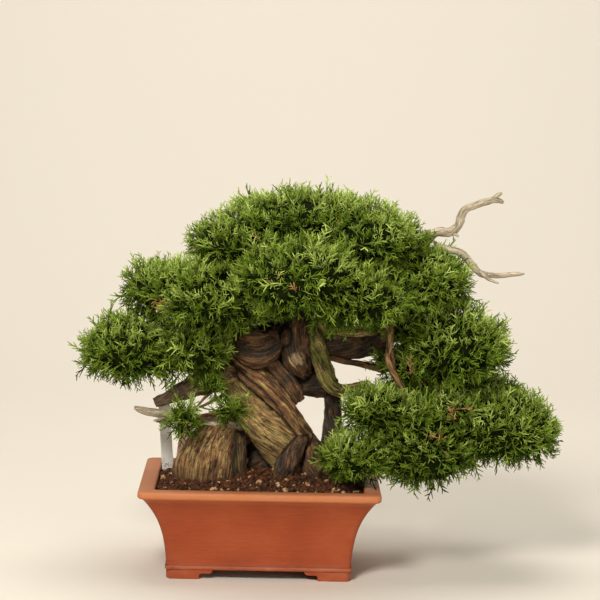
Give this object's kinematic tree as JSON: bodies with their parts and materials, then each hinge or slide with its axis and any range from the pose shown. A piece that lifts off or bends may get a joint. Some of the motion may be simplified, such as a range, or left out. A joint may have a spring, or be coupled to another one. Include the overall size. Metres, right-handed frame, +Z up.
{
  "type": "bonsai juniper in a pot",
  "caption": "Old juniper bonsai with a looping twisted trunk, bare deadwood branches and a dense green umbrella crown, in a rectangular unglazed terracotta pot on corner feet.",
  "frame": {"origin": "bottom centre of the whole plant's bounding box, on the surface that the pot's feet stand on", "axes": "+X along the pot's long front, towards the side the crown leans over; +Y from the front to the back; +Z up"},
  "size_m": [0.5076, 0.262, 0.4092],
  "materials": {
    "terracotta": "unglazed matt, faint wiping streaks",
    "soil": "damp clay granules with pale grains",
    "grit": "rough pumice grit",
    "bark": "fibrous bark, red brown and golden strips",
    "deadwood": "weathered silver grey, bare of bark",
    "foliage": "matt waxy scale leaves",
    "white_plastic": "satin sheet",
    "salmon_plastic": "satin sheet, faded",
    "mesh_plastic": "matt black",
    "wire": "bare drawn wire"
  },
  "bodies": {
    "root": {"pot": "terracotta", "drain_mesh_left": "mesh_plastic", "drain_mesh_right": "mesh_plastic", "mesh_wire_left": "wire", "mesh_wire_right": "wire", "drainage_layer": "grit", "soil": "soil", "trunk": "bark", "label_white": "white_plastic", "label_salmon": "salmon_plastic", "deadwood_upper": "deadwood", "deadwood_lower": "deadwood", "deadwood_left": "deadwood", "deadwood_stub": "deadwood", "foliage_top": "foliage", "foliage_top_left": "foliage", "foliage_top_right": "foliage", "foliage_front": "foliage", "foliage_front_left": "foliage", "foliage_front_right": "foliage", "foliage_left_upper": "foliage", "foliage_left_lower": "foliage", "foliage_left_inner": "foliage", "foliage_right_upper": "foliage", "foliage_right_middle": "foliage", "foliage_right_outer": "foliage", "foliage_right_lower": "foliage", "foliage_right_inner": "foliage", "foliage_back_left": "foliage", "foliage_back_right": "foliage", "foliage_back_low": "foliage", "tuft_left": "foliage", "tuft_middle": "foliage", "tuft_small": "foliage", "foliage_centre": "foliage", "foliage_right_centre": "foliage"}
  },
  "joints": []
}
